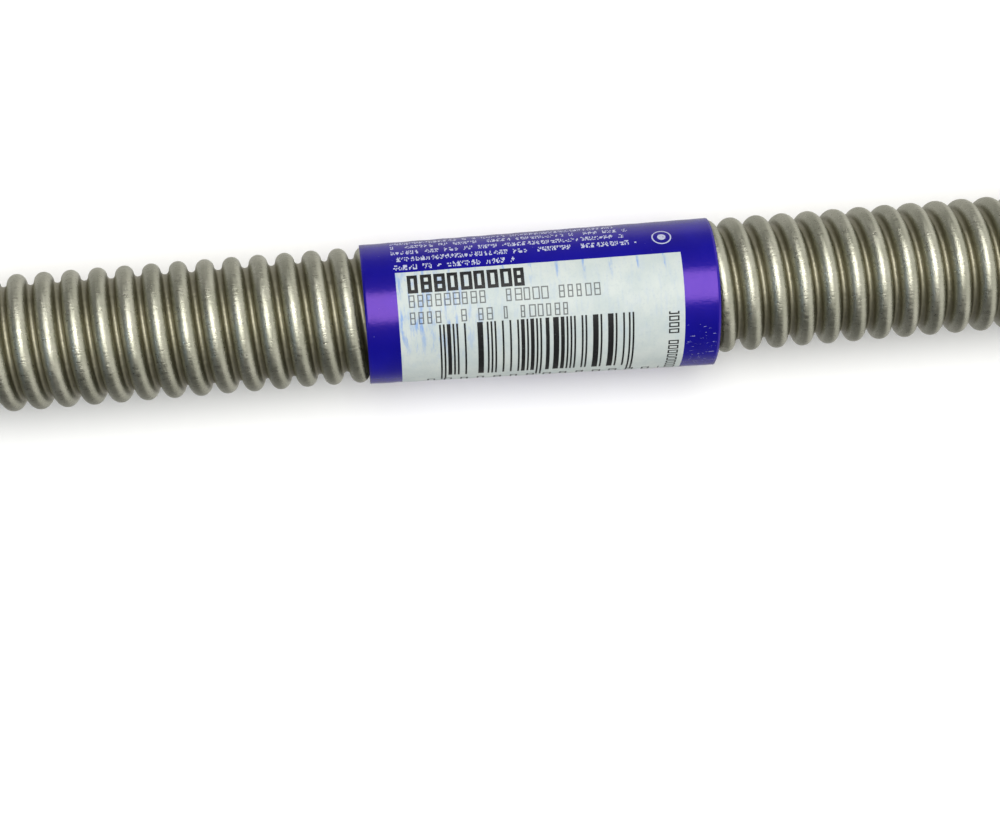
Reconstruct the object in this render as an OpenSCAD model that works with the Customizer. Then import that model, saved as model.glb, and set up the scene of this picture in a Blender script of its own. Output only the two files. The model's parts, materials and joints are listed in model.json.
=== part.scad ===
// Corrugated stainless water connector: a thin metal tube with a pipe nut swivelling on each end.
// The tube lies along X, and its axis is the X axis. All sizes are in millimetres.

/* [Overall] */
// Length over the two nut faces
overall_len = 457.2; // [400:0.1:620]

/* [Corrugated tube] */
// Outside diameter over the corrugation crests
crest_d = 25.4; // [24.4:0.1:26.4]
// Outside diameter at the bottom of the valleys
root_d = 20.9; // [20.4:0.1:21.8]
// Distance from one crest to the next
pitch = 4.95; // [4.6:0.01:5.6]
// Outside diameter of the plain cuff at each end
cuff_d = 22.2; // [22:0.05:22.3]
// Wall thickness of the plain cuff
cuff_wall = 0.3; // [0.25:0.05:0.5]
// Wall thickness of the corrugation, measured straight outward
corr_wall = 0.4; // [0.3:0.05:0.6]
// Plain cuff left showing between corrugation and nut
cuff_show = 21; // [18:0.5:30]
// Outside diameter of the turned-out lip on the end of each cuff
flare_d = 23.9; // [23.7:0.05:24]
// Thickness of that lip, folded on itself
flare_t = 0.95; // [0.8:0.05:1]

/* [Swivel nuts] */
// Distance across the flats of the hexagon
nut_af = 31.75; // [30:0.25:35]
// Length of each nut
nut_len = 22; // [20:0.5:26]
// Thickness of the shoulder at the back of the nut
nut_shoulder = 4; // [3:0.5:5]
// Hole through the shoulder
nut_back_d = 23.5; // [23.45:0.05:23.6]
// Minor diameter of the 3/4 inch pipe thread
thread_minor_d = 24.2; // [24.15:0.05:24.5]
// Diameter of the relief groove behind the thread, and of the mouth of the lead-in
thread_relief_d = 26.6; // [26:0.1:27.2]
// Length of the lead-in chamfer
lead_in = 1.2; // [0.6:0.1:2]
// Corner chamfer of the hexagon, as a share of the corner's height
corner_cut = 0.8; // [0.4:0.05:1]

/* [Insulating sleeves] */
// Inside diameter of the sleeve
sleeve_id = 22.5; // [22.45:0.05:22.6]
// Outside diameter of the sleeve
sleeve_od = 23.2; // [23.1:0.05:23.3]
// Diameter of the collar that stops the sleeve in the nut
collar_d = 24.0; // [23.9:0.05:24.05]
// Thickness of that collar
collar_t = 1.0; // [0.8:0.05:1.2]
// How far the sleeve shows behind the nut
sleeve_show = 2.6; // [1:0.1:4]

/* [Washers] */
// Outside diameter of the washer
washer_od = 23.8; // [23.4:0.1:24]
// Hole in the washer
washer_id = 16.5; // [14:0.5:19]
// Thickness of the washer
washer_t = 3.0; // [2:0.1:3]

/* [Label] */
// Length of the wrapped label along the tube
label_len = 65.5; // [40:0.5:80]
// Distance from the left end of the corrugation to the label
label_offset = 73.8; // [60:0.1:90]
// Thickness of the film
label_t = 0.25; // [0.15:0.05:0.4]
// How much further out the right edge of the label stands than the left edge
label_flare = 0.9; // [0:0.05:1.2]

/* [Hidden] */
$fn = 96;
gap = 0.05;                                                     // between faces that part or press
half = overall_len / 2;
n_pitch = floor((overall_len - 2 * (nut_len + cuff_show)) / pitch);
corr_x0 = -n_pitch * pitch / 2;                                 // left end of the corrugation
bend_n = 3;                                                     // pitches in each bending zone
label_x0 = corr_x0 + label_offset;
label_k0 = floor(label_offset / pitch);
label_k1 = ceil((label_offset + label_len) / pitch);
bend_a0 = round((label_k0 - bend_n) / 2);
function bend_right0(i) = label_k1 + round((i + 0.5) * (n_pitch - label_k1) / 3 - bend_n / 2);
bend_b0 = bend_right0(0);
bend_c0 = bend_right0(1);
bend_d0 = bend_right0(2);

// stations along the right end, from the nut's back face to its mouth
nut_x0 = half - nut_len;
shoulder_x = nut_x0 + nut_shoulder;
collar_x1 = shoulder_x + gap + collar_t;
flare_x0 = collar_x1 + gap;
flare_x1 = flare_x0 + flare_t;
washer_x0 = flare_x1 + gap;
washer_x1 = washer_x0 + washer_t;
thread_x0 = washer_x1 + 0.1;

crest_r = crest_d / 2;
root_r = root_d / 2;
cuff_r = cuff_d / 2;
depth = crest_r - root_r;

// one wave of the corrugation, from valley to valley: [share of the pitch, share of the depth]
wave = [[0, 0], [0.07, 0], [0.2, 0.5], [0.32, 0.9], [0.42, 1], [0.58, 1], [0.68, 0.9], [0.8, 0.5], [0.93, 0]];

function wave_points(k0, k1, drop) = concat(
    [for (k = [k0:k1 - 1]) for (w = wave)
        if (!(k > k0 && w[0] == 0)) [root_r + depth * w[1] - drop, corr_x0 + (k + w[0]) * pitch]],
    [[root_r - drop, corr_x0 + k1 * pitch]]);
function backwards(a) = [for (i = [len(a) - 1:-1:0]) a[i]];

// turns a profile of [radius, x] points about the X axis
module turned(points) rotate([0, 90, 0]) rotate_extrude() polygon(points);

// a length of corrugated wall between two valleys; trim leaves a hair of room at each end
module corrugated(k0, k1, trim0 = 0, trim1 = 0) {
    a = wave_points(k0, k1, 0);
    b = wave_points(k0, k1, corr_wall);
    n = len(a) - 1;
    function ends(p) = [for (i = [0:n]) [p[i][0], p[i][1] + (i == 0 ? trim0 : i == n ? -trim1 : 0)]];
    turned(concat(ends(a), backwards(ends(b))));
}

// the right end of the tube, from valley k0 to the turned-out lip
module end_profile(k0) {
    a = wave_points(k0, n_pitch, 0);
    b = wave_points(k0, n_pitch, corr_wall);
    x1 = -corr_x0;
    inner = cuff_r - cuff_wall;
    outer_side = concat([[a[0][0], a[0][1] + gap]], [for (i = [1:len(a) - 1]) a[i]],
        [[cuff_r, x1 + 1.6], [cuff_r, flare_x0], [flare_d / 2, flare_x0], [flare_d / 2, flare_x1], [inner, flare_x1]]);
    inner_side = concat([[b[0][0], b[0][1] + gap]], [for (i = [1:len(b) - 1]) b[i]], [[inner, x1 + 1.6]]);
    turned(concat(outer_side, backwards(inner_side)));
}

module tube_label_length() color("#9b9684") corrugated(bend_a0 + bend_n, bend_b0);
module bend_a() color("#9b9684") corrugated(bend_a0, bend_a0 + bend_n);
module tube_left_end() color("#9b9684") mirror([1, 0, 0]) end_profile(n_pitch - bend_a0);
module bend_b() color("#9b9684") corrugated(bend_b0, bend_b0 + bend_n);
module tube_length_b() color("#9b9684") corrugated(bend_b0 + bend_n, bend_c0, trim0 = gap);
module bend_c() color("#9b9684") corrugated(bend_c0, bend_c0 + bend_n);
module tube_length_c() color("#9b9684") corrugated(bend_c0 + bend_n, bend_d0, trim0 = gap);
module bend_d() color("#9b9684") corrugated(bend_d0, bend_d0 + bend_n);
module tube_right_end() color("#9b9684") end_profile(bend_d0 + bend_n);

// thin film wrapped round the crests, a little looser at its right edge
module label() color("#3a2a9a") {
    r0 = crest_r + gap;
    r1 = r0 + label_flare;
    turned([[r0, label_x0], [r0 + label_t, label_x0], [r1 + label_t, label_x0 + label_len], [r1, label_x0 + label_len]]);
}

module sleeve() color("#e9ebe6")
    turned([[sleeve_id / 2, nut_x0 - sleeve_show], [sleeve_od / 2, nut_x0 - sleeve_show],
        [sleeve_od / 2, shoulder_x + gap], [collar_d / 2, shoulder_x + gap],
        [collar_d / 2, collar_x1], [sleeve_id / 2, collar_x1]]);
module sleeve_right() sleeve();
module sleeve_left() mirror([1, 0, 0]) sleeve();

// hexagon nut, resting on one of its flats, with its corners turned down at both ends
module nut() color("#a9a79c") {
    corner_r = nut_af / 2 / cos(30);
    low_r = corner_r - (corner_r - nut_af / 2) * corner_cut - 0.5;
    rise = (corner_r - low_r) * tan(30);
    difference() {
        intersection() {
            translate([nut_x0, 0, 0]) rotate([30, 0, 0]) rotate([0, 90, 0]) cylinder(h = nut_len, r = corner_r, $fn = 6);
            turned([[0, nut_x0], [low_r, nut_x0], [corner_r + 0.2, nut_x0 + rise * (corner_r + 0.2 - low_r) / (corner_r - low_r)],
                [corner_r + 0.2, half - rise * (corner_r + 0.2 - low_r) / (corner_r - low_r)], [low_r, half], [0, half]]);
        }
        turned([[0, nut_x0 - 1], [nut_back_d / 2, nut_x0 - 1], [nut_back_d / 2, shoulder_x],
            [thread_relief_d / 2, shoulder_x], [thread_relief_d / 2, thread_x0 - 0.4],
            [thread_minor_d / 2, thread_x0], [thread_minor_d / 2, half - lead_in],
            [thread_relief_d / 2, half], [thread_relief_d / 2, half + 1], [0, half + 1]]);
    }
}
module nut_right() nut();
module nut_left() mirror([1, 0, 0]) nut();

// flat sealing washer inside the nut, against the lip of the tube
module washer() color("#2b2b2c")
    turned([[washer_id / 2, washer_x0], [washer_od / 2, washer_x0], [washer_od / 2, washer_x1], [washer_id / 2, washer_x1]]);
module washer_right() washer();
module washer_left() mirror([1, 0, 0]) washer();

tube_label_length();
bend_a();
tube_left_end();
bend_b();
tube_length_b();
bend_c();
tube_length_c();
bend_d();
tube_right_end();
label();
sleeve_left();
sleeve_right();
nut_left();
nut_right();
washer_left();
washer_right();
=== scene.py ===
import json
import math

import bmesh
import bpy
import numpy as np
from mathutils import Matrix, Vector


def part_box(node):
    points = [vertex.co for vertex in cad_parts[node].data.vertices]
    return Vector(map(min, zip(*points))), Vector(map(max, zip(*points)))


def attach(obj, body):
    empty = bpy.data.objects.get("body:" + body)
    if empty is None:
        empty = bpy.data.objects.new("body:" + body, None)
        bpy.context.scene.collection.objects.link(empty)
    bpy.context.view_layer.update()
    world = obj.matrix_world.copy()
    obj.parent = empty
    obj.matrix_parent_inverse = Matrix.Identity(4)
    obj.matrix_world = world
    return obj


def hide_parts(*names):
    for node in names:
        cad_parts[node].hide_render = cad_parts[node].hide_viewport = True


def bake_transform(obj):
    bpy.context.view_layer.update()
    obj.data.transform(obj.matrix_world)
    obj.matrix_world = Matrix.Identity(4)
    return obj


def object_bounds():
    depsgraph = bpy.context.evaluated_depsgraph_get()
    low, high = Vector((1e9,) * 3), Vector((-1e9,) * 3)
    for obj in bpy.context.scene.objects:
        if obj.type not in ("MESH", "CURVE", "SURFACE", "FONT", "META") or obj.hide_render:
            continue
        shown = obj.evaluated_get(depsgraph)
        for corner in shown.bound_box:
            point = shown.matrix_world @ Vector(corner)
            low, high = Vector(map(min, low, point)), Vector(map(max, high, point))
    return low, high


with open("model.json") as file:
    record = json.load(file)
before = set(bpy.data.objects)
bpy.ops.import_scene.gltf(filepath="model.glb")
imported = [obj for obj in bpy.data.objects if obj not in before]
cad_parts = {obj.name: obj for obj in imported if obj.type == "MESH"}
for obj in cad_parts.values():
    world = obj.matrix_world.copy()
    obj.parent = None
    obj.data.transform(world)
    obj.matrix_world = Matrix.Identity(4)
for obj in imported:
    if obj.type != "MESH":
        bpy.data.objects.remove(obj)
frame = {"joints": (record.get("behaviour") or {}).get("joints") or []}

cad_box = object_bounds()
MM = 0.001
TAU = 2 * math.pi

# ---------------------------------------------------------------- sizes, in millimetres
# The numbers below repeat part.scad's; nodes that are still there are measured instead.
P = 4.95                                  # pitch of the corrugation
N_PITCH = 74
CX = N_PITCH * P / 2                      # end of the corrugation
CREST, ROOT, CUFF = 12.7, 10.45, 11.1
WALL = 0.3
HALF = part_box("nut_right")[1].x / MM      # mouth of the right nut
NUT0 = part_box("nut_right")[0].x / MM      # its back face
NUT_AF = (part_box("nut_right")[1].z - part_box("nut_right")[0].z) / MM
FLARE1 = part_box("tube_right_end")[1].x / MM
FLARE0 = FLARE1 - 0.95
LAB0, LAB1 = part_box("label")[0].x / MM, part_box("label")[1].x / MM
SL0, SL1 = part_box("sleeve_right")[0].x / MM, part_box("sleeve_right")[1].x / MM
WA0, WA1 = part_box("washer_right")[0].x / MM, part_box("washer_right")[1].x / MM

# ---------------------------------------------------------------- camera
ELEV = math.radians(80.0)
FOCAL_PX, DIST = 2200.0, 413.6967
YAW, PIT, ROLL = 0.0659519, 0.0478640, 0.0813952
FOOT = LAB0 - 3.3843
HELIX0 = -60.1512                         # a crest on the far silhouette, from the camera's foot


def camera():
    def ry(a):
        return np.array([[math.cos(a), 0, math.sin(a)], [0, 1, 0], [-math.sin(a), 0, math.cos(a)]])

    def rx(a):
        return np.array([[1, 0, 0], [0, math.cos(a), -math.sin(a)], [0, math.sin(a), math.cos(a)]])

    def rz(a):
        return np.array([[math.cos(a), -math.sin(a), 0], [math.sin(a), math.cos(a), 0], [0, 0, 1]])

    r = rz(ROLL) @ rx(PIT) @ ry(YAW)
    m = np.array([[1, 0, 0], [0, math.sin(ELEV), math.cos(ELEV)], [0, -math.cos(ELEV), math.sin(ELEV)]])
    world = (r @ m).T
    place = np.array([FOOT, 0, 0]) + DIST * m[2]
    data = bpy.data.cameras.new("camera")
    data.sensor_fit = "HORIZONTAL"
    data.sensor_width = 36.0
    data.lens = 36.0 * FOCAL_PX / 1000.0
    data.clip_start, data.clip_end = 0.01, 50.0
    cam = bpy.data.objects.new("camera", data)
    bpy.context.scene.collection.objects.link(cam)
    full = np.eye(4)
    full[:3, :3] = world
    full[:3, 3] = place * MM
    cam.matrix_world = Matrix(full.tolist())
    bpy.context.scene.camera = cam


camera()

# angle about the tube's axis (0 at +Y, 90 at +Z) of the point that faces the camera
FACING = math.pi - ELEV
_beta = math.acos(CREST / DIST)
# crests: x = CREST0 + P * phi / TAU + k * P
CREST0 = HELIX0 + FOOT + P * (_beta - FACING) / TAU


# ---------------------------------------------------------------- mesh helpers
def add_mesh(name, co_mm, faces, smooth=True, flat_from=None, attrs=None, mats=None):
    me = bpy.data.meshes.new(name)
    co = np.asarray(co_mm, float) * MM
    me.from_pydata([tuple(c) for c in co.tolist()], [], faces)
    me.update()
    if smooth:
        flags = np.ones(len(me.polygons), bool)
        if flat_from is not None:
            flags[flat_from:] = False
        me.polygons.foreach_set("use_smooth", flags)
    for an, vals in (attrs or {}).items():
        a = me.attributes.new(an, "FLOAT_VECTOR", "POINT")
        a.data.foreach_set("vector", np.asarray(vals, np.float32).ravel())
    if mats is not None:
        me.polygons.foreach_set("material_index", np.asarray(mats, np.int32))
    ob = bpy.data.objects.new(name, me)
    bpy.context.scene.collection.objects.link(ob)
    return ob


def rest_attr(me):
    """Keeps where each point is at rest, so that a material stays put on a tube that bends."""
    a = me.attributes.get("rest_mm") or me.attributes.new("rest_mm", "FLOAT_VECTOR", "POINT")
    co = np.zeros(len(me.vertices) * 3, np.float32)
    me.vertices.foreach_get("co", co)
    a.data.foreach_set("vector", co / MM)


def closed_lathe(name, corners, bevels, n=128, seg=4, step=None):
    """A closed ring about X. corners are [x, r] points in order round the section, each with its own rounding."""
    pts = []
    m = len(corners)
    for i in range(m):
        p = np.array(corners[i], float)
        a = np.array(corners[i - 1], float) - p
        b = np.array(corners[(i + 1) % m], float) - p
        la, lb = np.linalg.norm(a), np.linalg.norm(b)
        q = min(bevels[i], 0.45 * la, 0.45 * lb)
        if q < 1e-6:
            pts.append(p)
            continue
        p0, p1 = p + a / la * q, p + b / lb * q
        for s in range(seg + 1):
            t = s / seg
            pts.append((1 - t) ** 2 * p0 + 2 * t * (1 - t) * p + t * t * p1)
    if step:
        more = []
        for i in range(len(pts)):
            a, b = pts[i], pts[(i + 1) % len(pts)]
            k = max(1, int(np.linalg.norm(b - a) / step))
            more += [a + (b - a) * s / k for s in range(k)]
        pts = more
    ang = np.arange(n) * TAU / n
    co = np.concatenate([np.c_[np.full(n, x), r * np.cos(ang), r * np.sin(ang)] for x, r in pts])
    k = len(pts)
    faces = []
    for i in range(k):
        for j in range(n):
            faces.append((i * n + j, i * n + (j + 1) % n, ((i + 1) % k) * n + (j + 1) % n, ((i + 1) % k) * n + j))
    ob = add_mesh(name, co, faces)
    face_out(ob)
    rest_attr(ob.data)
    return ob


def face_out(ob):
    bm = bmesh.new()
    bm.from_mesh(ob.data)
    bmesh.ops.recalc_face_normals(bm, faces=bm.faces)
    bm.to_mesh(ob.data)
    bm.free()


def smoothstep(x):
    x = np.clip(x, 0, 1)
    return x * x * (3 - 2 * x)


def wobble(x, phi, seed):
    """Small slow unevenness, from -1 to 1, the same on every run."""
    s = seed * 1.7
    return (np.sin(0.071 * x + 2 * phi + s) + np.sin(0.113 * x - 3 * phi + 2.1 * s) + np.sin(0.031 * x + phi + 0.6 * s)) / 3


# ---------------------------------------------------------------- corrugated tube
RC = 1.75                                 # rounding of a crest
_cc = CREST - RC                          # radius at which the crest's rounding is centred
RV = ((P / 2) ** 2 + (ROOT - _cc) ** 2 - RC ** 2) / (2 * RC - 2 * (ROOT - _cc))
_vc = ROOT + RV
ALPHA = math.atan2(P / 2, _vc - _cc) if _vc < _cc else math.pi / 2 - math.atan2(_vc - _cc, P / 2)


def wave_profile(offset, nc, nv):
    """One pitch from valley to valley as [dx, r], without the last point; offset thins it inward."""
    pts = []
    for i in range(nv // 2):              # from the valley's middle out to the flank
        a = ALPHA * i / (nv / 2)
        pts.append(((RV + offset) * math.sin(a), _vc - (RV + offset) * math.cos(a)))
    for i in range(nc):                   # over the crest
        a = -ALPHA + 2 * ALPHA * i / nc
        pts.append((P / 2 + (RC - offset) * math.sin(a), _cc + (RC - offset) * math.cos(a)))
    for i in range(nv // 2):
        a = -ALPHA + ALPHA * i / (nv / 2)
        pts.append((P + (RV + offset) * math.sin(a), _vc - (RV + offset) * math.cos(a)))
    return np.array(pts)


def helical_skin(x_from, x_to, offset, nc, nv, n_round, outward):
    """The corrugated surface between two planes: (bmesh, its loop at x_from, its loop at x_to)."""
    prof = wave_profile(offset, nc, nv)
    rows = len(prof)
    k0 = math.floor((x_from - CREST0) / P) - 3
    k1 = math.ceil((x_to - CREST0) / P) + 2
    n_rows = (k1 - k0) * rows
    phi = np.arange(n_round) * TAU / n_round
    kk = k0 + np.arange(n_rows) // rows
    dx, r = prof[np.arange(n_rows) % rows].T
    x = CREST0 - P / 2 + (kk * P + dx)[:, None] + (P * phi / TAU)[None, :]
    rr = np.broadcast_to(r[:, None], x.shape).copy()
    plain = CUFF - offset
    # each crest has its own small difference in height and in place
    turn = (x - CREST0) / P - phi[None, :] / TAU
    uneven = 0.05 * wobble(x, np.broadcast_to(phi, x.shape), 1) + 0.03 * np.sin(2.3 * np.round(turn) + 0.7)
    shape = np.clip((rr - (ROOT - offset)) / (CREST - ROOT), 0, 1)
    rr = rr + np.minimum(uneven, 0.0) * shape + 0.04 * wobble(x, np.broadcast_to(phi, x.shape), 4) * (1 - shape)
    fade = smoothstep((np.abs(x) - (CX - 1.45 * P)) / (1.55 * P))
    rr = rr * (1 - fade) + plain * fade
    co = np.stack([x, rr * np.cos(phi)[None, :], rr * np.sin(phi)[None, :]], -1).reshape(-1, 3)
    m, j = np.meshgrid(np.arange(n_rows - 1), np.arange(n_round), indexing="ij")
    a, b = m * n_round + j, (m + 1) * n_round + j
    last = j == n_round - 1
    c = np.where(last, (m + 1 + rows) * n_round, (m + 1) * n_round + j + 1)
    d = np.where(last, (m + rows) * n_round, m * n_round + j + 1)
    keep = ~(last & (m + 1 + rows >= n_rows))
    lo = np.minimum.reduce([co[a, 0], co[b, 0]])
    hi = np.maximum.reduce([co[a, 0], co[b, 0]])
    keep &= (hi > x_from - 1.5) & (lo < x_to + 1.5)
    quads = np.stack([a, b, c, d] if not outward else [a, d, c, b], -1)[keep]
    used, back = np.unique(quads.ravel(), return_inverse=True)
    co, quads = co[used], back.reshape(quads.shape)
    me = bpy.data.meshes.new("skin")
    me.from_pydata([tuple(v) for v in co.tolist()], [], [tuple(q) for q in quads.tolist()])
    bm = bmesh.new()
    bm.from_mesh(me)
    bpy.data.meshes.remove(me)
    loops = []
    for plane, no in ((x_from, -1), (x_to, 1)):
        bmesh.ops.bisect_plane(bm, geom=bm.verts[:] + bm.edges[:] + bm.faces[:], dist=1e-5,
                               plane_co=(plane, 0, 0), plane_no=(no, 0, 0), clear_outer=True)
    for plane in (x_from, x_to):
        rim = set()
        for e in bm.edges:
            if e.is_boundary and all(abs(v.co.x - plane) < 1e-3 for v in e.verts):
                rim.update(e.verts)
        loops.append(sorted(rim, key=lambda v: math.atan2(v.co.z, v.co.y)))
    return bm, loops[0], loops[1]


def zip_loops(bm, one, two):
    """Closes the gap between two loops about X, in order of angle, with triangles."""
    def ang(v):
        return math.atan2(v.co.z, v.co.y)
    i = j = 0
    n, m = len(one), len(two)
    made = []
    while i < n or j < m:
        a, b = one[i % n], two[j % m]
        na = ang(one[(i + 1) % n]) + (TAU if i + 1 >= n else 0)
        nb = ang(two[(j + 1) % m]) + (TAU if j + 1 >= m else 0)
        if j >= m or (i < n and na <= nb):
            c = one[(i + 1) % n]
            i += 1
        else:
            c = two[(j + 1) % m]
            j += 1
        try:
            made.append(bm.faces.new((a, b, c)))
        except ValueError:
            pass
    return made


def ring(bm, x, r, n):
    out = [bm.verts.new((x, r * math.cos(k * TAU / n), r * math.sin(k * TAU / n))) for k in range(n)]
    return sorted(out, key=lambda v: math.atan2(v.co.z, v.co.y))


def tube_piece(name, x_from, x_to, end=0):
    """A length of tube with its wall; end is -1 or 1 where it finishes in the plain cuff and the turned-out lip."""
    edge = CX + 0.6
    a, b = (-edge if end < 0 else x_from), (edge if end > 0 else x_to)
    outer, oa, ob_ = helical_skin(a, b, 0.0, 14, 8, 128, True)
    inner, ia, ib = helical_skin(a, b, WALL, 6, 4, 64, False)
    outer_verts = set(outer.verts)
    tmp = bpy.data.meshes.new("t")
    inner.to_mesh(tmp)
    inner.free()
    outer.from_mesh(tmp)
    bpy.data.meshes.remove(tmp)
    bm = outer
    inner_verts = [v for v in bm.verts if v not in outer_verts]

    def rim(plane, inside):
        if not inside:
            return oa if plane == a else ob_
        found = [v for v in inner_verts if abs(v.co.x - plane) < 1e-3 and any(e.is_boundary for e in v.link_edges)]
        return sorted(found, key=lambda v: math.atan2(v.co.z, v.co.y))

    flat = []
    rims = {(p, s): rim(p, s) for p in (a, b) for s in (False, True)}
    for plane in (a, b):
        sign = -1 if plane == a else 1
        out, ins = rims[(plane, False)], rims[(plane, True)]
        if sign * end <= 0:
            flat += zip_loops(bm, out, ins)
            continue
        # plain cuff, with the bead that the nut pushes against, and the lip folded back on itself
        n = 128
        cuff = [(edge + 0.5, CUFF), (edge + 6, CUFF), (edge + 12, CUFF), (edge + 18, CUFF), (NUT0 - 6, CUFF), (NUT0, CUFF),
                (FLARE0 - 0.9, CUFF), (FLARE0 - 0.35, CUFF + 0.06), (FLARE0 - 0.1, CUFF + 0.22), (FLARE0, CUFF + 0.45), (FLARE0, 11.6)]
        cuff += [((FLARE0 + FLARE1) / 2 - 0.475 * math.cos(t), 11.475 + 0.475 * math.sin(t)) for t in np.linspace(0.15, math.pi - 0.15, 9)]
        cuff += [(FLARE1, 11.4), (FLARE1, CUFF - WALL + 0.35), (FLARE1 - 0.08, CUFF - WALL + 0.12), (FLARE1 - 0.35, CUFF - WALL),
                 (NUT0, CUFF - WALL), (edge + 12, CUFF - WALL), (edge + 0.5, CUFF - WALL)]
        before = out
        for x, r in cuff:
            now = ring(bm, sign * x, r, n)
            zip_loops(bm, before, now)
            before = now
        zip_loops(bm, before, ins)
    bmesh.ops.recalc_face_normals(bm, faces=bm.faces)
    for f in bm.faces:
        f.smooth = True
    for f in flat:
        f.smooth = False
    for v in bm.verts:
        v.co *= MM
    me = bpy.data.meshes.new(name)
    bm.to_mesh(me)
    bm.free()
    ob = bpy.data.objects.new(name, me)
    bpy.context.scene.collection.objects.link(ob)
    rest_attr(me)
    return ob


joint_x = {j["name"]: j["pos_m"][0] / MM for j in frame["joints"] if j["name"].startswith("bend_")}
CUT_A, CUT_B, CUT_C = -78.0, (joint_x["bend_b"] + joint_x["bend_c"]) / 2, (joint_x["bend_c"] + joint_x["bend_d"]) / 2
tubes = [
    (tube_piece("corrugated_tube_left", -HALF, CUT_A, -1), "tube_body", "tube_left", joint_x["bend_a"] + 35, joint_x["bend_a"] - 35, ("tube_left_end", "bend_a")),
    (tube_piece("corrugated_tube_label", CUT_A, CUT_B), "tube_body", "tube_second", joint_x["bend_b"] - 36, joint_x["bend_b"] + 36, ("tube_label_length", "bend_b")),
    (tube_piece("corrugated_tube_middle", CUT_B, CUT_C), "tube_second", "tube_third", joint_x["bend_c"] - 36, joint_x["bend_c"] + 36, ("tube_length_b", "bend_c")),
    (tube_piece("corrugated_tube_right", CUT_C, HALF, 1), "tube_third", "tube_right", joint_x["bend_d"] - 35, joint_x["bend_d"] + 35, ("tube_length_c", "bend_d", "tube_right_end")),
]


# ---------------------------------------------------------------- nuts
def nut_mesh(name, side):
    """A hexagon nut with turned-down corners, a plain shoulder hole, a relief groove and a real right-handed thread."""
    n = 192
    ang = np.arange(n) * TAU / n
    fold = np.mod(ang - math.pi / 2 + math.pi / 6, math.pi / 3) - math.pi / 6
    hexr = NUT_AF / 2 / np.cos(fold)
    corner = NUT_AF / 2 / math.cos(math.pi / 6)
    hexr = hexr - 0.20 * np.exp(-(((np.abs(fold) - math.pi / 6) / 0.035) ** 2))     # corners slightly rounded
    low = corner - (corner - NUT_AF / 2) * 0.8 - 0.5
    length = HALF - NUT0

    def cone(d):
        return low + d / math.tan(math.pi / 6)

    def smin(a, b, k):
        h = np.clip(0.5 + 0.5 * (b - a) / k, 0, 1)
        return b * (1 - h) + a * h - k * h * (1 - h)

    rings = []

    def add(x, r):
        rings.append((x, np.full(n, r) if np.isscalar(r) else r))

    ds = list(np.linspace(0.0, 2.2, 12)) + [3, 4.5, 6.5, 9, length / 2]
    ds = ds + [length - d for d in reversed(ds[:-1])]
    add(NUT0, 12.05)
    add(NUT0, low - 0.35)
    for d in ds:
        e = min(d, length - d)
        r = smin(hexr, cone(e), 0.25)
        r = np.minimum(r, NUT_AF / 2 / np.cos(fold))
        if e < 1e-9:
            r = np.full(n, low - 0.1)
        add(NUT0 + d, r)
    add(HALF, low - 0.35)
    add(HALF, 13.75)
    add(HALF, 13.4)
    add(HALF - 0.08, 13.28)
    # the thread, 14 to the inch, cut outward from the bore
    tp, top, t0, t1 = 25.4 / 14, 12.1, WA1 + 0.55, HALF - 0.12
    for x in np.arange(t1, t0, -0.105):
        lead = np.clip((x - (HALF - 1.2)) / 1.2, 0, 1)
        base = top + 1.2 * lead
        s = np.mod((side * x - tp * ang / TAU) / tp, 1.0)
        v = 1 - 2 * np.abs(s - 0.5)
        cut = np.clip((v - 0.14) / 0.72, 0, 1) * 1.02 * np.clip((x - t0) / 0.9, 0, 1) * (1 - 0.15 * lead)
        add(x, np.maximum(base, top + cut))
    add(WA1 + 0.45, 12.1)
    add(WA1 + 0.1, 13.2)
    add(NUT0 + 4.1, 13.3)
    add(NUT0 + 4.0, 13.2)
    add(NUT0 + 4.0, 11.85)
    add(NUT0 + 3.85, 11.75)
    add(NUT0 + 0.3, 11.75)
    k = len(rings)
    co = np.concatenate([np.c_[np.full(n, side * x), r * np.cos(ang), r * np.sin(ang)] for x, r in rings])
    faces = []
    for i in range(k):
        for j in range(n):
            faces.append((i * n + j, i * n + (j + 1) % n, ((i + 1) % k) * n + (j + 1) % n, ((i + 1) % k) * n + j))
    ob = add_mesh(name, co, faces)
    face_out(ob)
    ob.data.set_sharp_from_angle(angle=math.radians(32))
    rest_attr(ob.data)
    return ob


# ---------------------------------------------------------------- wrapped film label
LAB_UNIT = 67.0 / (LAB1 - LAB0)           # the print is laid out on a 67-unit length
T_END, T_IN = -114.5, 273.5               # degrees: outer end of the wrap, and its inner end under the flap


PANEL_X = (6.2, 60.15)
PANEL_T = (-93.0, 33.0)


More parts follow.
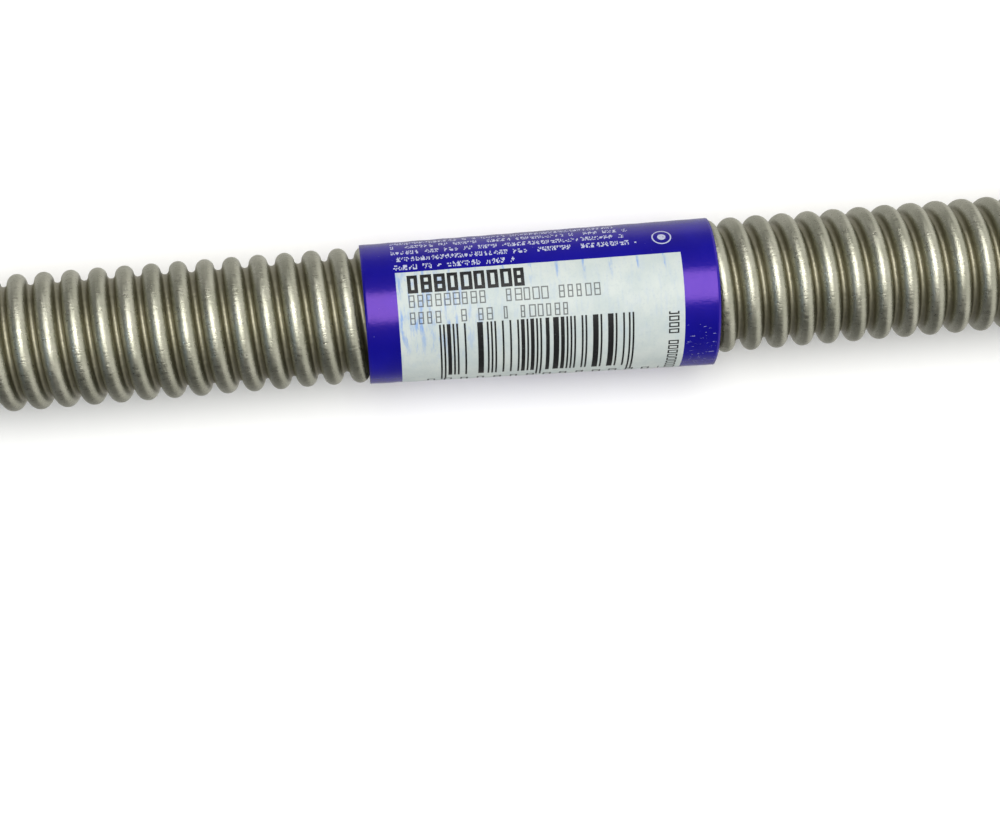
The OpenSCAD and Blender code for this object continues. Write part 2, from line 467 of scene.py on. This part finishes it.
def label_mesh(name):
    length = LAB1 - LAB0
    marks = [v / 67.0 for v in PANEL_X]
    u = np.unique(np.concatenate([[v for v in np.linspace(0, 1, 132) if min(abs(v - k) for k in marks) > 0.003], marks]))
    nx = len(u)
    x = u * length
    rc = 2.6                               # rounded corners of the outer end
    d = np.minimum(x, length - x)
    cut = np.where(d < rc, rc - np.sqrt(np.maximum(rc * rc - (rc - d) ** 2, 0)), 0) / 13.3
    t_start = math.radians(T_END) + cut
    # the leading edge isn't quite straight
    t_start = t_start + 0.006 * np.sin(x * 0.21 + 0.4)
    p0, p1, t2 = (math.radians(v) for v in (*PANEL_T, T_IN))
    one = np.linspace(0, 1, 15)[:-1]
    tt = np.concatenate([t_start[:, None] + (p0 - t_start[:, None]) * one[None, :],
                         np.broadcast_to(np.linspace(p0, p1, 71)[:-1], (nx, 70)),
                         np.broadcast_to(np.linspace(p1, t2, 121), (nx, 121))], 1)
    nt = tt.shape[1]
    td = np.degrees(tt)
    phi = FACING - tt
    base = 12.93 + (13.72 - 12.93) * u[:, None]
    # the flap lies over the inner end, and stands off a little towards the loose right edge
    over = 1 - smoothstep((td + 86.5) / 16.0)
    lift = over * (0.16 + 0.10 * u[:, None] ** 2)
    free = np.clip(1 - (td - T_END) / 9.0, 0, 1) * (0.05 + 0.22 * u[:, None] ** 3)
    # the film sinks a little between the crests it lies on
    wave = 0.5 - 0.5 * np.cos(TAU * ((LAB0 + x)[:, None] - CREST0 - P * phi / TAU) / P)
    sink = 0.055 * wave * (1 - 0.75 * u[:, None] ** 1.5)
    mid = base + lift + free - sink + 0.03 * wobble(x[:, None] * 1.6, phi, 2)
    # the loose right end hangs towards the viewer's lower side
    down = 0.82 * u[:, None] ** 1.05
    cy, cz = -math.sin(ELEV) * down, -math.cos(ELEV) * down
    th = 0.055
    outer = mid + th
    inner = mid - th
    # the right edge isn't quite square to the tube
    xs = LAB0 + x[:, None] * (1 - 0.30 * (1 - np.sin(tt)) / length)

    def place(r):
        return np.stack([xs, cy + r * np.cos(phi), cz + r * np.sin(phi)], -1).reshape(-1, 3)

    co = np.concatenate([place(outer), place(inner)])
    lab = np.stack([np.broadcast_to((x * LAB_UNIT)[:, None], td.shape), td, np.zeros_like(td)], -1).reshape(-1, 3)
    back = lab.copy()
    back[:, 2] = 1.0
    lab = np.concatenate([lab, back])
    off = nx * nt
    faces, mats = [], []
    i0, i1 = (int(np.argmin(np.abs(u - k))) for k in marks)
    for i in range(nx - 1):
        for j in range(nt - 1):
            a, b, c, e = i * nt + j, (i + 1) * nt + j, (i + 1) * nt + j + 1, i * nt + j + 1
            faces.append((a, e, c, b))
            mats.append(1 if i0 <= i < i1 and 14 <= j < 84 else 0)
            faces.append((off + a, off + b, off + c, off + e))
            mats.append(0)
    n_skin = len(faces)
    for i in range(nx - 1):
        for j in (0, nt - 1):
            a, b = i * nt + j, (i + 1) * nt + j
            faces.append((a, b, off + b, off + a) if j == 0 else (a, off + a, off + b, b))
    for j in range(nt - 1):
        for i in (0, nx - 1):
            a, b = i * nt + j, i * nt + j + 1
            faces.append((a, off + a, off + b, b) if i == 0 else (a, b, off + b, off + a))
    mats += [0] * (len(faces) - n_skin)
    ob = add_mesh(name, co, faces, flat_from=n_skin, attrs={"lab": lab}, mats=mats)
    face_out(ob)
    rest_attr(ob.data)
    return ob


# ---------------------------------------------------------------- materials
class Nodes:
    def __init__(self, name):
        self.mat = bpy.data.materials.new(name)
        self.mat.use_nodes = True
        self.t = self.mat.node_tree
        self.t.nodes.clear()
        self.out = self.t.nodes.new("ShaderNodeOutputMaterial")
        self.p = self.t.nodes.new("ShaderNodeBsdfPrincipled")
        self.t.links.new(self.p.outputs[0], self.out.inputs[0])

    def put(self, socket, value):
        if isinstance(value, bpy.types.NodeSocket):
            self.t.links.new(value, socket)
        else:
            socket.default_value = value

    def set(self, **kw):
        for k, v in kw.items():
            self.put(self.p.inputs[k.replace("_", " ")], v)

    def m(self, op, a, b=None, c=None, clamp=False):
        n = self.t.nodes.new("ShaderNodeMath")
        n.operation = op
        n.use_clamp = clamp
        for s, v in zip(n.inputs, (a, b, c)):
            if v is not None:
                self.put(s, v)
        return n.outputs[0]

    def vec(self, x, y, z):
        n = self.t.nodes.new("ShaderNodeCombineXYZ")
        for s, v in zip(n.inputs, (x, y, z)):
            self.put(s, v)
        return n.outputs[0]

    def vm(self, op, a, b=None):
        n = self.t.nodes.new("ShaderNodeVectorMath")
        n.operation = op
        self.put(n.inputs[0], a)
        if b is not None:
            self.put(n.inputs[1], b)
        return n.outputs["Value"] if op in ("LENGTH", "DOT_PRODUCT", "DISTANCE") else n.outputs["Vector"]

    def split(self, v):
        n = self.t.nodes.new("ShaderNodeSeparateXYZ")
        self.put(n.inputs[0], v)
        return n.outputs[0], n.outputs[1], n.outputs[2]

    def attr(self, name):
        n = self.t.nodes.new("ShaderNodeAttribute")
        n.attribute_name = name
        return n.outputs["Vector"]

    def noise(self, v, scale, detail=2.0, rough=0.5, distort=0.0):
        n = self.t.nodes.new("ShaderNodeTexNoise")
        self.put(n.inputs["Vector"], v)
        n.inputs["Scale"].default_value = scale
        n.inputs["Detail"].default_value = detail
        n.inputs["Roughness"].default_value = rough
        n.inputs["Distortion"].default_value = distort
        return n.outputs["Fac"] if "Fac" in n.outputs else n.outputs[0]

    def white(self, v):
        n = self.t.nodes.new("ShaderNodeTexWhiteNoise")
        n.noise_dimensions = "3D"
        self.put(n.inputs["Vector"], v)
        return n.outputs["Value"]

    def remap(self, v, a, b, c, d, smooth=True):
        n = self.t.nodes.new("ShaderNodeMapRange")
        n.interpolation_type = "SMOOTHSTEP" if smooth else "LINEAR"
        self.put(n.inputs["Value"], v)
        for key, val in (("From Min", a), ("From Max", b), ("To Min", c), ("To Max", d)):
            self.put(n.inputs[key], val)
        return n.outputs["Result"]

    def mix(self, f, a, b):
        n = self.t.nodes.new("ShaderNodeMix")
        n.data_type = "RGBA"
        self.put(n.inputs["Factor"], f)
        for s in n.inputs:
            if s.type == "RGBA" and s.name == "A":
                self.put(s, (*a, 1) if isinstance(a, tuple) and len(a) == 3 else a)
            if s.type == "RGBA" and s.name == "B":
                self.put(s, (*b, 1) if isinstance(b, tuple) and len(b) == 3 else b)
        return [o for o in n.outputs if o.type == "RGBA"][0]

    def inside(self, v, lo, hi):
        """1 where lo < v < hi."""
        return self.m("COMPARE", v, (lo + hi) / 2, (hi - lo) / 2)

    def both(self, *a):
        r = a[0]
        for v in a[1:]:
            r = self.m("MULTIPLY", r, v)
        return r

    def any(self, *a):
        r = a[0]
        for v in a[1:]:
            r = self.m("MAXIMUM", r, v)
        return r

    def bump(self, height, strength, distance, normal=None):
        n = self.t.nodes.new("ShaderNodeBump")
        n.inputs["Strength"].default_value = strength
        n.inputs["Distance"].default_value = distance
        self.put(n.inputs["Height"], height)
        if normal is not None:
            self.put(n.inputs["Normal"], normal)
        return n.outputs[0]


def steel():
    g = Nodes("coated_stainless")
    co = g.attr("rest_mm")
    x, y, z = g.split(co)
    r = g.m("SQRT", g.m("ADD", g.m("MULTIPLY", y, y), g.m("MULTIPLY", z, z)))
    # fine marks along the tube, left by forming the corrugation
    ticks = g.noise(g.vm("MULTIPLY", co, (0.55, 2.2, 2.2)), 1.0, 4.0, 0.65)
    fine = g.noise(g.vm("MULTIPLY", co, (1.4, 7.0, 7.0)), 1.0, 2.0, 0.6)
    cloud = g.noise(co, 0.16, 3.0, 0.55)
    spots = g.noise(co, 0.9, 4.0, 0.6)
    height = g.m("ADD", g.m("MULTIPLY", ticks, 0.8), g.m("MULTIPLY", fine, 0.55))
    valley = g.m("MULTIPLY", g.remap(r, 10.5, 11.9, 1.0, 0.0), g.remap(g.m("ABSOLUTE", x), CX - 9.0, CX - 1.0, 1.0, 0.0))
    lower = g.remap(cloud, 0.35, 0.68, 0.0, 1.0)
    col = g.mix(lower, (0.40, 0.40, 0.32), (0.49, 0.485, 0.40))
    col = g.mix(g.remap(spots, 0.55, 0.75, 0.0, 0.35), col, (0.34, 0.33, 0.24))
    # painted shade: the colour is darkened and browned in the valleys, standing in for the shade that falls in the
    # hollows between crests
    col = g.mix(g.m("MULTIPLY", valley, 0.72), col, (0.19, 0.17, 0.105))
    rough = g.m("ADD", g.remap(ticks, 0.3, 0.7, 0.25, 0.40), g.m("MULTIPLY", valley, 0.06))
    g.set(Base_Color=col, Metallic=1.0, Roughness=rough, Normal=g.bump(height, 1.0, 0.00011))
    g.set(Coat_Weight=0.15, Coat_Roughness=0.15)
    # the marks lie along the tube, so they spread a highlight round it
    tangent = g.t.nodes.new("ShaderNodeTangent")
    tangent.direction_type, tangent.axis = "RADIAL", "X"
    g.set(Anisotropic=0.7, Tangent=tangent.outputs[0])
    return g.mat


def nut_steel():
    g = Nodes("nut_plate")
    co = g.attr("rest_mm")
    x, y, z = g.split(co)
    r = g.m("SQRT", g.m("ADD", g.m("MULTIPLY", y, y), g.m("MULTIPLY", z, z)))
    # drawn marks along the flats, turned marks on the faces
    along = g.noise(g.vm("MULTIPLY", co, (0.22, 5.0, 5.0)), 1.0, 3.0, 0.6)
    turned = g.noise(g.vec(g.m("MULTIPLY", x, 6.0), g.m("MULTIPLY", r, 9.0), 0.0), 1.0, 2.0, 0.5)
    cloud = g.noise(co, 0.22, 4.0, 0.6)
    pits = g.noise(co, 2.4, 3.0, 0.6)
    col = g.mix(g.remap(cloud, 0.35, 0.7, 0.0, 1.0), (0.60, 0.59, 0.56), (0.71, 0.70, 0.67))
    col = g.mix(g.remap(pits, 0.62, 0.78, 0.0, 0.4), col, (0.40, 0.38, 0.33))
    # the colour is darker in the bore and thread and on the inner rim of the end faces
    bore = g.remap(r, 12.9, 13.7, 1.0, 0.0)
    col = g.mix(g.m("MULTIPLY", bore, 0.45), col, (0.34, 0.32, 0.27))
    height = g.m("ADD", g.m("MULTIPLY", along, 0.6), g.m("MULTIPLY", turned, 0.4))
    g.set(Base_Color=col, Metallic=1.0, Roughness=g.remap(along, 0.3, 0.7, 0.24, 0.40), Normal=g.bump(height, 0.3, 0.00004))
    return g.mat


def plastic():
    g = Nodes("sleeve_white")
    co = g.attr("rest_mm")
    cloud = g.noise(co, 0.35, 3.0, 0.5)
    grain = g.noise(co, 6.0, 2.0, 0.5)
    col = g.mix(g.remap(cloud, 0.3, 0.7, 0.0, 1.0), (0.74, 0.75, 0.71), (0.82, 0.83, 0.80))
    g.set(Base_Color=col, Metallic=0.0, Roughness=g.remap(grain, 0.3, 0.7, 0.38, 0.52), Normal=g.bump(grain, 0.15, 0.00003))
    g.set(Subsurface_Weight=0.08, Subsurface_Scale=0.001)
    return g.mat


def rubber():
    g = Nodes("washer_black")
    co = g.attr("rest_mm")
    cloud = g.noise(co, 0.5, 3.0, 0.6)
    grain = g.noise(co, 5.0, 3.0, 0.6)
    col = g.mix(g.remap(cloud, 0.3, 0.7, 0.0, 1.0), (0.018, 0.018, 0.019), (0.045, 0.045, 0.046))
    g.set(Base_Color=col, Metallic=0.0, Roughness=g.remap(grain, 0.3, 0.7, 0.55, 0.8), Normal=g.bump(grain, 0.4, 0.00005))
    return g.mat


DEG = 0.2304                               # millimetres of wrap in a degree


def words(g, x, t, x0, x1, t0, t1, step, seed, fill=0.52, rows=4, cols=4, gap=0.14, edge=0.84):
    """A line of small specks, as dense as fine print, which spell nothing."""
    u = g.m("DIVIDE", g.m("SUBTRACT", x, x0), step)
    k = g.m("FLOOR", u)
    fu = g.m("SUBTRACT", u, k)
    v = g.m("DIVIDE", g.m("SUBTRACT", t, t0), t1 - t0)
    cell = g.white(g.vec(g.m("FLOOR", g.m("MULTIPLY", fu, cols / edge)), g.m("FLOOR", g.m("MULTIPLY", v, rows)), g.m("ADD", k, seed)))
    on = g.m("GREATER_THAN", cell, fill)
    word = g.m("GREATER_THAN", g.white(g.vec(k, seed * 1.7, 3.0)), gap)
    return g.both(on, word, g.m("LESS_THAN", fu, edge), g.inside(x, x0, x1), g.inside(t, t0, t1))


def boxes(g, x, t, x0, x1, t0, t1, step, stroke, seed, gap=0.13, wide=(0.52, 0.84)):
    """A line of plain hollow boxes of different widths, as heavy as a line of print, which spell nothing."""
    u = g.m("DIVIDE", g.m("SUBTRACT", x, x0), step)
    k = g.m("FLOOR", u)
    fu = g.m("SUBTRACT", u, k)
    v = g.m("DIVIDE", g.m("SUBTRACT", t, t0), t1 - t0)
    w = g.m("ADD", wide[0], g.m("MULTIPLY", g.white(g.vec(k, seed, 1.0)), wide[1] - wide[0]))
    su, sv = stroke / step, stroke / ((t1 - t0) * DEG)
    inner = g.both(g.m("GREATER_THAN", fu, su), g.m("LESS_THAN", fu, g.m("SUBTRACT", w, su)), g.inside(v, sv, 1 - sv))
    bar = g.both(g.inside(v, 0.5 - sv / 2, 0.5 + sv / 2), g.m("GREATER_THAN", g.white(g.vec(k, seed, 9.0)), 0.4))
    inner = g.m("MULTIPLY", inner, g.m("SUBTRACT", 1.0, bar))
    word = g.m("GREATER_THAN", g.white(g.vec(k, seed * 1.7, 3.0)), gap)
    return g.both(g.m("LESS_THAN", fu, w), word, g.m("SUBTRACT", 1.0, inner), g.inside(x, x0, x1), g.inside(t, t0, t1))


def film():
    """The coloured film of the wrap. Marks are laid out in lab = (x along the label, degrees round it), and every one is plain and generic."""
    g = Nodes("label_film")
    x, t, side = g.split(g.attr("lab"))
    co = g.attr("rest_mm")
    cloud = g.noise(co, 0.12, 2.0, 0.5)
    col = g.mix(g.remap(cloud, 0.3, 0.7, 0.0, 1.0), (0.0022, 0.0030, 0.20), (0.0030, 0.0042, 0.25))
    col = g.mix(g.m("MULTIPLY", g.inside(t, 214.0, 280.0), 0.8), col, (0.006, 0.005, 0.13))
    col = g.mix(g.inside(t, 177.0, 213.4), col, (0.60, 0.35, 0.05))
    col = g.mix(g.inside(t, 213.4, 214.2), col, (0.16, 0.02, 0.02))
    lines = ((6.0, 29.0, 35.4, 0.92, 11.0), (5.8, 52.2, 44.4, 0.92, 23.0), (5.8, 50.0, 53.4, 0.92, 37.0), (5.8, 51.0, 62.4, 0.92, 41.0),
             (5.8, 48.6, 71.4, 0.92, 53.0), (5.8, 57.0, 84.0, 0.92, 59.0), (5.8, 55.0, 93.0, 0.92, 61.0), (5.8, 58.0, 102.0, 0.92, 67.0),
             (5.8, 46.0, 111.0, 0.92, 71.0), (8.0, 58.0, 146.0, 1.0, 79.0), (8.0, 50.0, 157.0, 1.0, 83.0), (10.0, 55.0, -109.0, 0.95, 89.0),
             (33.0, 60.0, 232.0, 1.1, 97.0), (33.0, 60.0, 221.0, 1.1, 101.0))
    white = g.any(*[words(g, x, t, a, b, c, c + 5.2, s, seed) for a, b, c, s, seed in lines],
                  boxes(g, x, t, 8.0, 54.0, 126.0, 138.0, 2.3, 0.55, 73.0))
    faint = g.any(words(g, x, t, 8.0, 50.0, 200.0, 205.0, 1.1, 103.0), words(g, x, t, 12.0, 58.0, 190.0, 195.0, 1.1, 107.0))
    # a plain ring with a dot in it
    dx = g.m("SUBTRACT", x, 57.1)
    dy = g.m("MULTIPLY", g.m("SUBTRACT", t, 50.2), DEG)
    dist = g.m("SQRT", g.m("ADD", g.m("MULTIPLY", dx, dx), g.m("MULTIPLY", dy, dy)))
    ringm = g.any(g.inside(dist, 1.62, 1.88), g.m("LESS_THAN", dist, 0.80))
    # a plain bar on the layer under the flap
    bar = g.both(g.inside(x, 8.0, 30.0), g.inside(t, 222.0, 236.0))
    white = g.any(white, ringm, bar)
    wear = g.noise(g.vm("MULTIPLY", co, (1.2, 1.2, 1.2)), 1.0, 3.0, 0.6)
    white = g.m("MULTIPLY", white, g.remap(wear, 0.28, 0.42, 0.30, 0.80))
    col = g.mix(white, col, (0.58, 0.62, 0.72))
    col = g.mix(g.m("MULTIPLY", faint, 0.6), col, (0.85, 0.80, 0.62))
    # scratches through the ink near the right edge, and a few elsewhere
    scr = g.noise(g.vec(g.m("MULTIPLY", x, 0.45), g.m("MULTIPLY", t, 0.75), 3.0), 1.0, 3.0, 0.7)
    scratch = g.both(g.remap(scr, 0.64, 0.68, 0.0, 1.0), g.inside(x, 60.6, 67.5), g.inside(t, -75.0, -25.0))
    scr2 = g.noise(g.vec(g.m("MULTIPLY", x, 0.9), g.m("MULTIPLY", t, 0.35), 13.0), 1.0, 3.0, 0.7)
    scratch = g.any(scratch, g.remap(scr2, 0.71, 0.75, 0.0, 0.6))
    col = g.mix(scratch, col, (0.55, 0.58, 0.70))
    inner = g.m("GREATER_THAN", side, 0.5)
    col = g.mix(inner, col, (0.55, 0.55, 0.53))
    grain = g.noise(g.vm("MULTIPLY", co, (1.0, 3.0, 3.0)), 1.0, 3.0, 0.6)
    fibre = g.noise(g.vm("MULTIPLY", co, (2.2, 2.2, 2.2)), 1.0, 4.0, 0.7)
    rough = g.m("ADD", g.remap(grain, 0.3, 0.7, 0.18, 0.25), g.m("MULTIPLY", g.any(white, scratch, inner), 0.15))
    g.set(Base_Color=col, Metallic=0.0, Roughness=rough, Normal=g.bump(g.m("ADD", grain, g.m("MULTIPLY", fibre, 0.4)), 0.28, 0.00006))
    g.set(IOR=1.68, Specular_Tint=(0.58, 0.26, 1.0, 1.0))
    return g.mat


def panel():
    """The pale printed panel of the wrap."""
    g = Nodes("label_panel")
    x, t, side = g.split(g.attr("lab"))
    co = g.attr("rest_mm")
    fibre = g.noise(g.vm("MULTIPLY", co, (2.2, 2.2, 2.2)), 1.0, 4.0, 0.7)
    soft = g.noise(co, 0.2, 3.0, 0.6)
    paper = g.mix(g.remap(soft, 0.3, 0.7, 0.0, 1.0), (0.47, 0.53, 0.52), (0.54, 0.585, 0.56))
    paper = g.mix(g.remap(fibre, 0.5, 0.72, 0.0, 0.30), paper, (0.35, 0.42, 0.47))
    # pale blue rubbed marks where the film lies on each crest
    step = g.m("FRACT", g.m("DIVIDE", g.m("ADD", x, 1.4), P * LAB_UNIT))
    near = g.m("SUBTRACT", 1.0, g.m("MULTIPLY", g.m("ABSOLUTE", g.m("SUBTRACT", step, 0.5)), 11.0), clamp=True)
    streak = g.noise(g.vec(g.m("MULTIPLY", x, 1.6), g.m("MULTIPLY", t, 0.09), 2.0), 1.0, 3.0, 0.6)
    rub = g.both(near, g.remap(streak, 0.40, 0.60, 0.0, 1.0), g.remap(t, 10.0, 29.0, 0.0, 1.0))
    smear = g.both(g.remap(g.noise(g.vec(g.m("MULTIPLY", x, 1.1), g.m("MULTIPLY", t, 0.055), 7.0), 1.0, 4.0, 0.65), 0.46, 0.68, 0.0, 1.0),
                   g.remap(x, 6.5, 30.0, 1.0, 0.14), g.remap(g.m("ABSOLUTE", t), 8.0, 60.0, 1.0, 0.0))
    paper = g.mix(g.m("MULTIPLY", g.any(rub, smear), 0.9, clamp=True), paper, (0.16, 0.30, 0.62))
    title = boxes(g, x, t, 8.3, 30.6, 14.0, 29.6, 2.5, 0.68, 131.0, gap=-1.0, wide=(0.74, 0.90))
    digits = g.both(boxes(g, x, t, 11.0, 56.0, -89.0, -78.0, 3.2, 0.30, 151.0, gap=-1.0, wide=(0.42, 0.5)))
    thin = g.any(
        boxes(g, x, t, 8.3, 44.82, 2.4, 12.6, 1.66, 0.24, 137.0, gap=0.10, wide=(0.55, 0.84)),
        boxes(g, x, t, 8.3, 38.7, -11.2, -1.2, 1.60, 0.24, 139.0, gap=0.16, wide=(0.45, 0.84)),
    )
    # bars of made-up widths
    x0, mod = 13.6, 0.358
    kb = g.m("FLOOR", g.m("DIVIDE", g.m("SUBTRACT", x, x0), mod))
    fine = g.m("GREATER_THAN", g.white(g.vec(kb, 17.0, 8.0)), 0.52)
    # no more than three modules of the same tone in a row
    even = g.m("COMPARE", g.m("MODULO", kb, 4.0), 1.0, 0.1)
    odd = g.m("COMPARE", g.m("MODULO", kb, 7.0), 3.0, 0.1)
    bars = g.m("MULTIPLY", g.any(fine, even), g.m("SUBTRACT", 1.0, odd))
    c = x0 + 51 * mod
    guards = g.any(g.inside(x, x0, x0 + mod), g.inside(x, x0 + 2 * mod, x0 + 3 * mod), g.inside(x, c, c + mod), g.inside(x, c + 2 * mod, c + 3 * mod),
                   g.inside(x, x0 + 100 * mod, x0 + 101 * mod), g.inside(x, x0 + 102 * mod, x0 + 103 * mod))
    quiet = g.any(g.inside(x, x0, x0 + 4 * mod), g.inside(x, c - mod, c + 4 * mod), g.inside(x, x0 + 98 * mod, x0 + 103 * mod))
    code = g.both(g.any(g.both(bars, g.m("SUBTRACT", 1.0, quiet)), guards), g.inside(x, x0, x0 + 103 * mod), g.inside(t, -70.0, -12.5))
    code = g.any(code, g.both(guards, g.inside(t, -80.5, -12.5)))
    # small boxes turned a quarter round
    uu = g.m("DIVIDE", g.m("ADD", t, 92.0), 5.4)
    ku = g.m("FLOOR", uu)
    fu = g.m("SUBTRACT", uu, ku)
    hole = g.both(g.inside(fu, 0.20, 0.58), g.inside(x, 57.35, 58.75))
    turned = g.both(g.m("LESS_THAN", fu, 0.78), g.m("SUBTRACT", 1.0, hole), g.inside(x, 57.05, 59.05), g.inside(t, -92.0, -14.0),
                    g.m("SUBTRACT", 1.0, g.inside(ku, 9.5, 10.5)))
    dark = g.m("MULTIPLY", g.any(title, digits, code, turned), g.remap(fibre, 0.25, 0.4, 0.8, 1.0))
    col = g.mix(g.m("MULTIPLY", thin, 0.80), paper, (0.05, 0.053, 0.056))
    col = g.mix(dark, col, (0.007, 0.007, 0.008))
    g.set(Base_Color=col, Metallic=0.0, Roughness=g.remap(fibre, 0.3, 0.7, 0.46, 0.58), Normal=g.bump(fibre, 0.15, 0.00004))
    g.set(IOR=1.4)
    return g.mat


def floor_material():
    g = Nodes("floor_pale")
    tc = g.t.nodes.new("ShaderNodeTexCoord")
    n = g.noise(tc.outputs["Object"], 3.0, 3.0, 0.5)
    g.set(Base_Color=g.mix(n, (0.945, 0.945, 0.94), (0.96, 0.96, 0.955)), Roughness=0.85)
    return g.mat


STEEL, NUT, PLASTIC, RUBBER, FILM, PANEL = steel(), nut_steel(), plastic(), rubber(), film(), panel()


# ---------------------------------------------------------------- pieces on their bodies
for ob, a, b, start, end, nodes in tubes:
    ob.data.materials.append(STEEL)
    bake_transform(ob)
    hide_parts(*nodes)

label = label_mesh("wrap_label")
label.data.materials.append(FILM)
label.data.materials.append(PANEL)
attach(label, "tube_body")
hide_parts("label")

for name, side in (("left", -1), ("right", 1)):
    nut = nut_mesh("hex_nut_" + name, side)
    nut.data.materials.append(NUT)
    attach(nut, f"nut_{name}_body")
    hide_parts(f"nut_{name}")

    s = side
    sleeve = closed_lathe("insulating_sleeve_" + name,
                          [[s * SL0, 11.25], [s * SL0, 11.6], [s * (SL1 - 1.0), 11.6], [s * (SL1 - 1.0), 12.0], [s * SL1, 12.0], [s * SL1, 11.25]],
                          [0.06, 0.14, 0.05, 0.1, 0.12, 0.06])
    sleeve.data.materials.append(PLASTIC)
    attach(sleeve, f"sleeve_{name}_body")
    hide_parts(f"sleeve_{name}")

    washer = closed_lathe("sealing_washer_" + name,
                          [[s * WA0, 8.25], [s * WA0, 11.9], [s * WA1, 11.9], [s * WA1, 8.25]],
                          [0.3, 0.35, 0.35, 0.3], seg=5)
    washer.data.materials.append(RUBBER)
    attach(washer, f"washer_{name}_body")
    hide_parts(f"washer_{name}")


# ---------------------------------------------------------------- floor and light
def stage():
    z = cad_box[0][2] if not hasattr(cad_box[0], "z") else cad_box[0].z
    me = bpy.data.meshes.new("floor")
    s = 4.0
    me.from_pydata([(-s, -s, z), (s, -s, z), (s, s, z), (-s, s, z)], [], [(0, 1, 2, 3)])
    ob = bpy.data.objects.new("floor", me)
    bpy.context.scene.collection.objects.link(ob)
    me.materials.append(floor_material())
    ob.visible_glossy = False              # the satin metal mirrors the room below, not a burnt-out floor

    def area(name, place, aim, size, power, colour=(1, 1, 1)):
        d = bpy.data.lights.new(name, "AREA")
        d.shape = "RECTANGLE"
        d.size, d.size_y = size
        d.energy = power
        d.color = colour
        o = bpy.data.objects.new(name, d)
        o.location = place
        o.rotation_euler = (Vector(aim) - Vector(place)).to_track_quat("-Z", "Y").to_euler()
        bpy.context.scene.collection.objects.link(o)

    area("top_light", (-0.05, -0.015, 1.2), (-0.05, 0.0, 0.0), (0.8, 1.05), 14.2, (1.0, 0.993, 0.98))
    area("cool_light", (-0.95, -0.42, 0.78), (-0.1, 0.0, 0.0), (0.3, 0.3), 1.1, (0.60, 0.78, 1.0))
    world = bpy.data.worlds.new("world")
    bpy.context.scene.world = world
    world.use_nodes = True
    t = world.node_tree
    t.nodes.clear()
    out = t.nodes.new("ShaderNodeOutputWorld")
    bg = t.nodes.new("ShaderNodeBackground")
    tc = t.nodes.new("ShaderNodeTexCoord")
    sep = t.nodes.new("ShaderNodeSeparateXYZ")
    ramp = t.nodes.new("ShaderNodeValToRGB")
    t.links.new(tc.outputs["Generated"], sep.inputs[0])
    ramp2 = t.nodes.new("ShaderNodeValToRGB")
    side = t.nodes.new("ShaderNodeMapRange")
    mixer = t.nodes.new("ShaderNodeMix")
    mixer.data_type = "RGBA"
    height = t.nodes.new("ShaderNodeMapRange")
    height.inputs["From Min"].default_value, height.inputs["From Max"].default_value = -1.0, 1.0
    t.links.new(sep.outputs["Z"], height.inputs["Value"])
    t.links.new(height.outputs["Result"], ramp.inputs[0])
    t.links.new(height.outputs["Result"], ramp2.inputs[0])
    near_side = ((0.0, 0.50), (0.22, 0.15), (0.44, 0.07), (0.52, 0.08), (0.75, 0.14), (1.0, 0.46))
    far_side = ((0.0, 0.55), (0.36, 0.70), (0.46, 0.40), (0.52, 0.30), (0.75, 0.18), (1.0, 0.46))
    right_side = ((0.0, 0.55), (0.36, 0.85), (0.46, 1.0), (0.70, 1.10), (0.86, 1.05), (1.0, 0.45))
    ramp3 = t.nodes.new("ShaderNodeValToRGB")
    t.links.new(height.outputs["Result"], ramp3.inputs[0])
    for rr, stops in ((ramp, near_side), (ramp2, far_side), (ramp3, right_side)):
        el = rr.color_ramp.elements
        for k, (pos, v) in enumerate(stops):
            e = el[0] if k == 0 else (el[-1] if k == len(stops) - 1 else el.new(pos))
            e.position, e.color = pos, (v, v * 0.99, v * 0.955, 1)
    side.inputs["From Min"].default_value, side.inputs["From Max"].default_value = -0.5, 0.5
    t.links.new(sep.outputs["Y"], side.inputs["Value"])
    t.links.new(side.outputs["Result"], mixer.inputs["Factor"])
    colours = [s for s in mixer.inputs if s.type == "RGBA"]
    t.links.new(ramp.outputs[0], colours[0])
    t.links.new(ramp2.outputs[0], colours[1])
    mixer2 = t.nodes.new("ShaderNodeMix")
    mixer2.data_type = "RGBA"
    right = t.nodes.new("ShaderNodeMapRange")
    right.interpolation_type = "SMOOTHSTEP"
    right.inputs["From Min"].default_value, right.inputs["From Max"].default_value = 0.22, 0.52
    t.links.new(sep.outputs["X"], right.inputs["Value"])
    t.links.new(right.outputs["Result"], mixer2.inputs["Factor"])
    colours = [s for s in mixer2.inputs if s.type == "RGBA"]
    t.links.new([o for o in mixer.outputs if o.type == "RGBA"][0], colours[0])
    t.links.new(ramp3.outputs[0], colours[1])
    # the room behind the floor's edge, as pale as the far floor
    backdrop = t.nodes.new("ShaderNodeMix")
    backdrop.data_type = "RGBA"
    path = t.nodes.new("ShaderNodeLightPath")
    t.links.new(path.outputs["Is Camera Ray"], backdrop.inputs["Factor"])
    colours = [s for s in backdrop.inputs if s.type == "RGBA"]
    t.links.new([o for o in mixer2.outputs if o.type == "RGBA"][0], colours[0])
    colours[1].default_value = (0.42, 0.417, 0.40, 1)
    t.links.new([o for o in backdrop.outputs if o.type == "RGBA"][0], bg.inputs["Color"])
    bg.inputs["Strength"].default_value = 1.0
    t.links.new(bg.outputs[0], out.inputs[0])


stage()
bpy.context.scene.view_settings.view_transform = "Standard"
bpy.context.view_layer.update()


def plain(box):
    return [[float(c) for c in corner] for corner in box]
